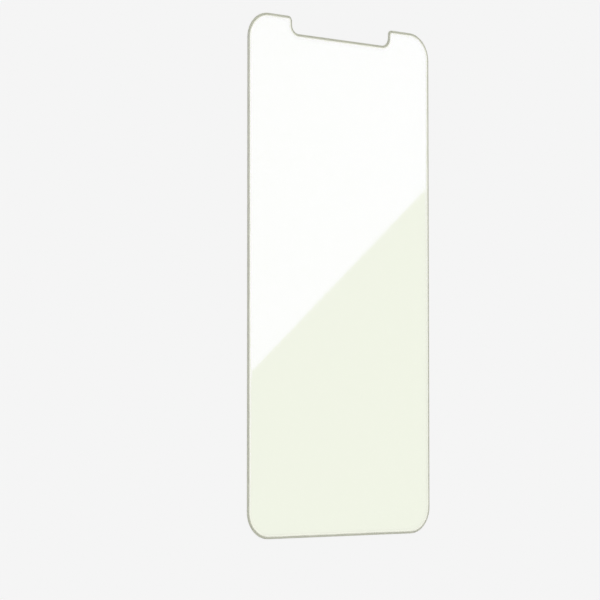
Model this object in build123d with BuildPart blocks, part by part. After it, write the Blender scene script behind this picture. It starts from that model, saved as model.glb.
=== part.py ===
"""Screen protector for a phone: one clear tempered-glass sheet with a notch and a curved edge.

The sheet lies with its adhesive face on Z = 0, centred on the origin.
+Y points to the notched end and +Z out of the face that is touched.
All sizes are in millimetres.
"""

import os

from build123d import *

# Sheet outline
length = 138.4
width = 65.7
thickness = 0.33
corner_radius = 7.2

# Notch in the upper end, with a rounded ear on each side of it
notch_width = 35.0
notch_depth = 4.55
notch_root_radius = 2.4
ear_radius = 1.3

# Ground edge, the same all the way round
edge_run = 1.1        # width of the curved band, seen from above
edge_land = 0.1       # height of the upright land that is left under the curve
arris = 0.04          # bevel along the lower edge
wheel_margin = 0.2    # how far the grinding profile reaches past the blank


with BuildPart() as glass_sheet:

    # Blank, cut to the display's outline
    with BuildSketch() as outline:
        Rectangle(width, length)
        fillet(outline.vertices(), corner_radius)
        with Locations((0, length / 2)):
            Rectangle(notch_width, 2 * notch_depth, mode=Mode.SUBTRACT)
        notch_corners = outline.vertices().filter_by_position(
            Axis.X, -notch_width / 2, notch_width / 2
        )
        fillet(notch_corners.group_by(Axis.Y)[0], notch_root_radius)
        ear_corners = outline.vertices().filter_by_position(
            Axis.X, -notch_width / 2, notch_width / 2
        )
        fillet(ear_corners.group_by(Axis.Y)[-1], ear_radius)
    extrude(amount=thickness)

    # Curved upper edge: an arc that leaves the face smoothly and ends on the land
    rim = outline.face().outer_wire()
    along = rim % 0
    inward = Axis.Z.direction.cross(along)
    with BuildSketch(Plane(rim @ 0, x_dir=inward, z_dir=along)):
        with BuildLine():
            TangentArc((edge_run, thickness), (0, edge_land), tangent=(-1, 0))
            Polyline(
                (0, edge_land),
                (-wheel_margin, edge_land),
                (-wheel_margin, thickness + wheel_margin),
                (edge_run, thickness + wheel_margin),
                (edge_run, thickness),
            )
        make_face()
    sweep(path=rim, mode=Mode.SUBTRACT)

    # Lower edge, seamed so that it has no sharp corner
    adhesive_face = glass_sheet.faces().sort_by(Axis.Z)[0]
    chamfer(adhesive_face.edges(), arris)

glass_sheet.part.label = "glass_sheet"

os.makedirs("parts", exist_ok=True)
export_step(glass_sheet.part, "parts/glass_sheet.step")
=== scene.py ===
"""Clear tempered-glass screen protector, lying on a pale studio floor. Sizes are in metres."""

import math

import bpy
from mathutils import Matrix, Vector
from mathutils.geometry import delaunay_2d_cdt


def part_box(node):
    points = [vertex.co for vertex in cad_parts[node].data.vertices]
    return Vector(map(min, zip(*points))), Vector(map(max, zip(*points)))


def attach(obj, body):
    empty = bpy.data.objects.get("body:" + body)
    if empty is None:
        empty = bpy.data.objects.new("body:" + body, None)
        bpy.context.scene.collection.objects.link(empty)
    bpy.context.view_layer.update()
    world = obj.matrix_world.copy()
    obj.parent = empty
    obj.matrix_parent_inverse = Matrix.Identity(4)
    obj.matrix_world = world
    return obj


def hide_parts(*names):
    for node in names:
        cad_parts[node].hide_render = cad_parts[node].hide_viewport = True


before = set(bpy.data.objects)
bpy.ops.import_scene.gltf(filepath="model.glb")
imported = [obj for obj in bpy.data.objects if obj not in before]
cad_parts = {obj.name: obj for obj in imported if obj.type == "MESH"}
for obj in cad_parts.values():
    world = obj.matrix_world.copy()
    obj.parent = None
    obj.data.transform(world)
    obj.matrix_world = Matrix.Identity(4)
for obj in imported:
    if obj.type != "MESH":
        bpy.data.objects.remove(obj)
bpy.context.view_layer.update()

# Sheet, with its overall size from the frame
LOWEST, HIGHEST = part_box("glass_sheet")
WIDTH, LENGTH, THICKNESS = HIGHEST - LOWEST
CORNER_RADIUS = 0.0072
NOTCH_WIDTH = 0.035
NOTCH_DEPTH = 0.00455
ROOT_RADIUS = 0.0024
EAR_RADIUS = 0.0013
EDGE_RUN = 0.0011
EDGE_LAND = 0.0001
ARRIS = 0.00004

# Mesh of the sheet
CORNER_STEPS = 24
EAR_STEPS = 10
ROOT_STEPS = 12
EDGE_STEPS = 8
STEP_LENGTH = 0.005  # along the straight sides and over the faces
FLAT_MARGIN = 0.00015  # from the inner end of the curved edge on to the face
LATTICE_MARGIN = 0.004  # from the rim in to the points over the faces
SHARP_ANGLE = math.radians(30)
FACE, EDGE = 0, 1  # the sheet's materials
WITHIN_OUTLINE = 1  # the kind of filling that stays within an outline

# Camera, which looks down on the sheet with the notched end up in the picture
AIM = Vector((-0.01458, -0.0063, 0.0))
CAMERA_AZIMUTH = -85.62
CAMERA_ELEVATION = 48.91
CAMERA_DISTANCE = 0.647
CAMERA_LENS = 146.26
PICTURE_UP = Vector((0, 1, 0))

# Softboxes, which show as glare on the notch's side of a slanting line across the sheet
GLARE_MIDDLE = Vector((0, 0.0003, THICKNESS))
GLARE_ANGLE = 39.3
SOFTBOX_DISTANCE = 1.2
SOFTBOX_LENGTH = 0.6
SOFTBOX_WIDTH = 0.4
SOFTBOX_COLOUR = (1.14, 0.88, 2.1)  # makes up for the tint of the glass, so that the glare is white
CAMERA_RADIANCE = 1.0
OTHER_EYES = ((45, 25, 0.4), (225, 15, 0.21), (0, 89, 1.1))  # azimuth, elevation and radiance

# Levels of the studio, where 1 is white
FLOOR_COLOUR = (0.913, 0.913, 0.913, 1)
FLOOR_SIZE = 16.0
FLOOR_GAP = 0.00002
AMBIENT = (1.0, 1.0, 1.0, 1)

# Polished faces
GLASS_IOR = 1.5
GLASS_TINT = (0.982, 1.0, 0.928, 1)  # what one crossing of the sheet lets through
POLISH = (0.013, 0.023)  # the range of the roughness
POLISH_SCALE = (60, 60, 60)
POLISH_DETAIL = 3
NOISE_SPAN = (0.3, 0.7)  # where most of a noise lies

# Ground edge, by shares of the way from the curve's inner end to the rim: a cream line that is a painted
# highlight, then an olive-grey band that is partly the edge's own colour and partly painted shade
HIGHLIGHT_LINE_FROM = 0.02
HIGHLIGHT_LINE_FULL = 0.18
OLIVE_SHADE_FROM = 0.28
OLIVE_SHADE_FULL = 0.6
# The cream is lighter than the glass: a painted highlight along the curve's inner end.
PAINTED_HIGHLIGHT_CREAM = (1.0, 1.0, 0.9, 1)
# The olive-grey is partly the edge's own greenish grey and partly painted shade, darkened to stand for the
# dark line along a glass rim.
EDGE_OLIVE_AND_PAINTED_SHADE = (0.38, 0.385, 0.3, 1)
HIGHLIGHT_LINE_CLEAR = 0.6
OLIVE_SHADE_CLEAR = 0.6
EDGE_ROUGHNESS = 0.3
EDGE_SHADE = (0.8, 0.8, 0.76, 1)
STREAK_SCALE = (150, 150, 40000)
STREAK_DETAIL = 2
STREAK_SHIFT = 0.08


def arcs():
    """Corners of the outline, anticlockwise: centre, radius, sign, first angle, last angle and steps."""
    x, y = WIDTH / 2 - CORNER_RADIUS, LENGTH / 2 - CORNER_RADIUS
    ear_x, ear_y = NOTCH_WIDTH / 2 + EAR_RADIUS, LENGTH / 2 - EAR_RADIUS
    root_x, root_y = NOTCH_WIDTH / 2 - ROOT_RADIUS, LENGTH / 2 - NOTCH_DEPTH + ROOT_RADIUS
    return [
        (-x, -y, CORNER_RADIUS, 1, 180, 270, CORNER_STEPS),
        (x, -y, CORNER_RADIUS, 1, 270, 360, CORNER_STEPS),
        (x, y, CORNER_RADIUS, 1, 0, 90, CORNER_STEPS),
        (ear_x, ear_y, EAR_RADIUS, 1, 90, 180, EAR_STEPS),
        (root_x, root_y, ROOT_RADIUS, -1, 0, -90, ROOT_STEPS),
        (-root_x, root_y, ROOT_RADIUS, -1, -90, -180, ROOT_STEPS),
        (-ear_x, ear_y, EAR_RADIUS, 1, 0, 90, EAR_STEPS),
        (-x, y, CORNER_RADIUS, 1, 90, 180, CORNER_STEPS),
    ]


def ring(inset, height):
    """The outline moved in by inset, at a height, with its straight sides divided evenly."""
    corners = []
    for cx, cy, radius, sign, first, last, steps in arcs():
        centre, reach = Vector((cx, cy, height)), radius - sign * inset
        angles = [math.radians(first + (last - first) * i / steps) for i in range(steps + 1)]
        corners.append([centre + reach * Vector((math.cos(a), math.sin(a), 0)) for a in angles])
    points = []
    for corner, following in zip(corners, corners[1:] + corners[:1]):
        side = following[0] - corner[-1]
        steps = max(1, round(side.length / STEP_LENGTH))
        points += corner + [corner[-1] + side * i / steps for i in range(1, steps)]
    return points


def edge_profile():
    """Inset and height of each ring, from the lower face up to the curve's inner end."""
    drop = THICKNESS - EDGE_LAND
    radius = (drop ** 2 + EDGE_RUN ** 2) / (2 * drop)
    whole = math.asin(EDGE_RUN / radius)
    curve = []
    for i in range(EDGE_STEPS + 1):
        lean = whole * (1 - i / EDGE_STEPS)
        curve.append((EDGE_RUN - radius * math.sin(lean), THICKNESS - radius * (1 - math.cos(lean))))
    return [(ARRIS, 0), (0, ARRIS)] + curve


def lattice():
    """Rows of evenly spaced points over the sheet, each row half a step along from the last."""
    row = STEP_LENGTH * math.sqrt(3) / 2
    half_width, half_length = WIDTH / 2 - LATTICE_MARGIN, LENGTH / 2 - LATTICE_MARGIN
    half_notch = NOTCH_WIDTH / 2 + LATTICE_MARGIN
    rows, columns = int(half_length / row), int(half_width / STEP_LENGTH)
    points = []
    for j in range(-rows, rows + 1):
        for i in range(-columns - 1, columns + 1):
            x, y = (i + (j % 2) / 2) * STEP_LENGTH, j * row
            in_notch = abs(x) < half_notch and y > half_length - NOTCH_DEPTH
            if abs(x) < half_width and not in_notch:
                points.append(Vector((x, y)))
    return points


def triangles(outline, inside):
    """Triangles that fill an outline, by the numbers of its points and then of the points inside it."""
    flat = [point.to_2d() for point in outline] + inside
    filling = delaunay_2d_cdt(flat, [], [range(len(outline))], WITHIN_OUTLINE, 0)
    faces, sources = filling[2], filling[3]
    return [[sources[i][0] for i in face] for face in faces]


def sheet_mesh():
    """Rings of faces up the edge and on to a narrow flat margin, closed by the upper and the lower face."""
    rings = [ring(inset, height) for inset, height in edge_profile()]
    rings.append(ring(EDGE_RUN + FLAT_MARGIN, THICKNESS))
    count, top = len(rings[0]), len(rings) - 1
    points = sum(rings, [])
    faces, slots = [], []
    for level in range(top):
        low, high = level * count, (level + 1) * count
        for i in range(count):
            j = (i + 1) % count
            faces.append((low + i, low + j, high + j, high + i))
            slots.append(FACE if level == top - 1 else EDGE)
    inside = lattice()
    for level, height, winding in ((top, THICKNESS, 1), (0, 0, -1)):
        numbers = [level * count + i for i in range(count)]
        numbers += [len(points) + i for i in range(len(inside))]
        points += [point.to_3d() + Vector((0, 0, height)) for point in inside]
        for triangle in triangles(rings[level], inside):
            faces.append([numbers[i] for i in triangle[::winding]])
            slots.append(FACE)
    mesh = bpy.data.meshes.new("glass")
    mesh.from_pydata(points, [], faces)
    mesh.polygons.foreach_set("material_index", slots)
    mesh.polygons.foreach_set("use_smooth", [True] * len(faces))
    mesh.set_sharp_from_angle(angle=SHARP_ANGLE)
    return mesh


def make_sheet():
    mesh = sheet_mesh()
    mesh.materials.append(face_glass())
    mesh.materials.append(edge_glass())
    sheet = bpy.data.objects.new("glass", mesh)
    bpy.context.scene.collection.objects.link(sheet)
    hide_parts("glass_sheet")
    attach(sheet, "root")


def placed(origin, x_axis, y_axis, z_axis):
    """The matrix of an object that stands at origin with these axes."""
    return Matrix.Translation(origin) @ Matrix((x_axis, y_axis, z_axis)).transposed().to_4x4()


def towards(azimuth, elevation):
    """The direction of an eye, in degrees. Azimuth 0 is in front, where -Y is, and 90 is at +X."""
    a, e = math.radians(azimuth), math.radians(elevation)
    return Vector((math.sin(a) * math.cos(e), -math.cos(a) * math.cos(e), math.sin(e)))


def make_camera():
    back = towards(CAMERA_AZIMUTH, CAMERA_ELEVATION)
    right = PICTURE_UP.cross(back).normalized()
    data = bpy.data.cameras.new("camera")
    data.lens = CAMERA_LENS
    camera = bpy.data.objects.new("camera", data)
    camera.matrix_world = placed(AIM + back * CAMERA_DISTANCE, right, back.cross(right), back)
    bpy.context.scene.collection.objects.link(camera)
    bpy.context.scene.camera = camera


def make_softbox(eye, radiance):
    """A panel that shows only as glare: the eye's mirror image sees its edge behind the glare line."""
    image = Vector((eye.x, eye.y, 2 * THICKNESS - eye.z))
    facing = (GLARE_MIDDLE - image).normalized()
    edge_middle = GLARE_MIDDLE + facing * SOFTBOX_DISTANCE
    angle = math.radians(GLARE_ANGLE)
    line = Vector((math.cos(angle), math.sin(angle), 0))
    along = (line - facing * line.dot(facing)).normalized()
    across = facing.cross(along)
    data = bpy.data.lights.new("softbox", "AREA")
    data.shape = "RECTANGLE"
    data.size = SOFTBOX_LENGTH
    data.size_y = SOFTBOX_WIDTH
    data.energy = radiance * math.pi * SOFTBOX_LENGTH * SOFTBOX_WIDTH
    data.color = SOFTBOX_COLOUR
    lamp = bpy.data.objects.new("softbox", data)
    lamp.matrix_world = placed(edge_middle + across * SOFTBOX_WIDTH / 2, along, across, facing)
    lamp.visible_diffuse = False
    bpy.context.scene.collection.objects.link(lamp)


def make_softboxes():
    """A panel for each eye. A low eye sees a stronger mirror image, so its panel is weaker."""
    make_softbox(bpy.context.scene.camera.matrix_world.translation, CAMERA_RADIANCE)
    for azimuth, elevation, radiance in OTHER_EYES:
        make_softbox(towards(azimuth, elevation) * CAMERA_DISTANCE, radiance)


def empty_tree(data):
    """The node tree of a world or a material, with nothing in it."""
    data.use_nodes = True
    data.node_tree.nodes.clear()
    return data.node_tree


def maths(tree, operation, *values):
    """The result of a Math node on these values."""
    node = tree.nodes.new("ShaderNodeMath")
    node.operation = operation
    for value, socket in zip(values, node.inputs):
        tree.links.new(value, socket)
    return node.outputs[0]


def scaled(tree, value, source, target):
    """The value, taken from the source range to the target range."""
    node = tree.nodes.new("ShaderNodeMapRange")
    node.inputs["From Min"].default_value, node.inputs["From Max"].default_value = source
    node.inputs["To Min"].default_value, node.inputs["To Max"].default_value = target
    tree.links.new(value, node.inputs["Value"])
    return node.outputs["Result"]


def ramp(tree, value, stops):
    """A colour ramp with these (position, colour) stops."""
    node = tree.nodes.new("ShaderNodeValToRGB")
    node.color_ramp.interpolation = "EASE"
    elements = node.color_ramp.elements
    while len(elements) < len(stops):
        elements.new(1.0)
    for element, (position, colour) in zip(elements, stops):
        element.position = position
        element.color = colour
    tree.links.new(value, node.inputs["Fac"])
    return node.outputs["Color"]


def noise(tree, scale, detail):
    """Noise in the sheet's own frame, with a scale along each axis."""
    place = tree.nodes.new("ShaderNodeTexCoord")
    stretch = tree.nodes.new("ShaderNodeVectorMath")
    stretch.operation = "MULTIPLY"
    stretch.inputs[1].default_value = scale
    tree.links.new(place.outputs["Object"], stretch.inputs[0])
    node = tree.nodes.new("ShaderNodeTexNoise")
    node.inputs["Scale"].default_value = 1
    node.inputs["Detail"].default_value = detail
    tree.links.new(stretch.outputs["Vector"], node.inputs["Vector"])
    return node.outputs["Fac"]


def make_world():
    """Even light from all sides, and a backdrop that is as pale as the far floor."""
    world = bpy.data.worlds.new("studio")
    bpy.context.scene.world = world
    tree = empty_tree(world)
    path = tree.nodes.new("ShaderNodeLightPath").outputs
    direct = maths(tree, "MAXIMUM", path["Is Camera Ray"], path["Is Glossy Ray"])
    light = tree.nodes.new("ShaderNodeMix")
    light.data_type = "RGBA"
    light.inputs["A"].default_value = AMBIENT
    light.inputs["B"].default_value = [a * f for a, f in zip(AMBIENT, FLOOR_COLOUR)]
    tree.links.new(maths(tree, "MAXIMUM", direct, path["Is Transmission Ray"]), light.inputs["Factor"])
    sky = tree.nodes.new("ShaderNodeBackground")
    tree.links.new(light.outputs["Result"], sky.inputs["Color"])
    out = tree.nodes.new("ShaderNodeOutputWorld")
    tree.links.new(sky.outputs[0], out.inputs["Surface"])


def make_floor():
    bpy.ops.mesh.primitive_plane_add(size=FLOOR_SIZE, location=(0, 0, -FLOOR_GAP))
    floor = bpy.context.object
    floor.name = "floor"
    material = bpy.data.materials.new("floor")
    tree = empty_tree(material)
    paint = tree.nodes.new("ShaderNodeBsdfDiffuse")
    paint.inputs["Color"].default_value = FLOOR_COLOUR
    out = tree.nodes.new("ShaderNodeOutputMaterial")
    tree.links.new(paint.outputs[0], out.inputs["Surface"])
    floor.data.materials.append(material)


def let_light_through(tree, shader, tint):
    """Lamps and scattered light pass the sheet unbent, tinted by half at each face."""
    clear = tree.nodes.new("ShaderNodeBsdfTransparent")
    clear.inputs["Color"].default_value = [c ** 0.5 for c in tint]
    path = tree.nodes.new("ShaderNodeLightPath").outputs
    for kind in ("Is Shadow Ray", "Is Diffuse Ray"):
        mix = tree.nodes.new("ShaderNodeMixShader")
        tree.links.new(path[kind], mix.inputs[0])
        tree.links.new(shader, mix.inputs[1])
        tree.links.new(clear.outputs[0], mix.inputs[2])
        shader = mix.outputs[0]
    out = tree.nodes.new("ShaderNodeOutputMaterial")
    tree.links.new(shader, out.inputs["Surface"])


def face_glass():
    """Polished and coated faces: clear, with a polish that is a little uneven."""
    material = bpy.data.materials.new("polished_face")
    tree = empty_tree(material)
    glass = tree.nodes.new("ShaderNodeBsdfPrincipled")
    glass.inputs["Base Color"].default_value = GLASS_TINT
    glass.inputs["IOR"].default_value = GLASS_IOR
    glass.inputs["Transmission Weight"].default_value = 1.0
    unevenness = noise(tree, POLISH_SCALE, POLISH_DETAIL)
    tree.links.new(scaled(tree, unevenness, NOISE_SPAN, POLISH), glass.inputs["Roughness"])
    let_light_through(tree, glass.outputs[0], GLASS_TINT)
    return material


def way_to_rim(tree):
    """The share of the way from the curve's inner end to the rim, shifted by streaks along the edge."""
    place = tree.nodes.new("ShaderNodeTexCoord")
    split = tree.nodes.new("ShaderNodeSeparateXYZ")
    tree.links.new(place.outputs["Object"], split.inputs[0])
    depth = scaled(tree, split.outputs["Z"], (THICKNESS, EDGE_LAND), (0, 1))
    streaks = noise(tree, STREAK_SCALE, STREAK_DETAIL)
    shift = scaled(tree, streaks, NOISE_SPAN, (-STREAK_SHIFT, STREAK_SHIFT))
    return maths(tree, "ADD", maths(tree, "SQRT", depth), shift)


def grey(level):
    return (level, level, level, 1)


def edge_glass():
    """Ground edge: clear at the curve's inner end, then a cream line that is a painted highlight, then a
    dull olive-grey band that is partly the edge's own colour and partly painted shade.
    """
    material = bpy.data.materials.new("ground_edge")
    tree = empty_tree(material)
    way = way_to_rim(tree)
    places = (HIGHLIGHT_LINE_FROM, HIGHLIGHT_LINE_FULL, OLIVE_SHADE_FROM, OLIVE_SHADE_FULL)
    colours = (GLASS_TINT, PAINTED_HIGHLIGHT_CREAM, PAINTED_HIGHLIGHT_CREAM, EDGE_OLIVE_AND_PAINTED_SHADE)
    clears = (grey(1), grey(HIGHLIGHT_LINE_CLEAR), grey(HIGHLIGHT_LINE_CLEAR), grey(OLIVE_SHADE_CLEAR))
    rough = ((HIGHLIGHT_LINE_FROM, grey(POLISH[1])), (OLIVE_SHADE_FULL, grey(EDGE_ROUGHNESS)))
    glass = tree.nodes.new("ShaderNodeBsdfPrincipled")
    tree.links.new(ramp(tree, way, tuple(zip(places, colours))), glass.inputs["Base Color"])
    tree.links.new(ramp(tree, way, tuple(zip(places, clears))), glass.inputs["Transmission Weight"])
    tree.links.new(ramp(tree, way, rough), glass.inputs["Roughness"])
    glass.inputs["IOR"].default_value = GLASS_IOR
    let_light_through(tree, glass.outputs[0], EDGE_SHADE)
    return material


bpy.context.scene.view_settings.view_transform = "Standard"
make_camera()
make_world()
make_softboxes()
make_floor()
make_sheet()
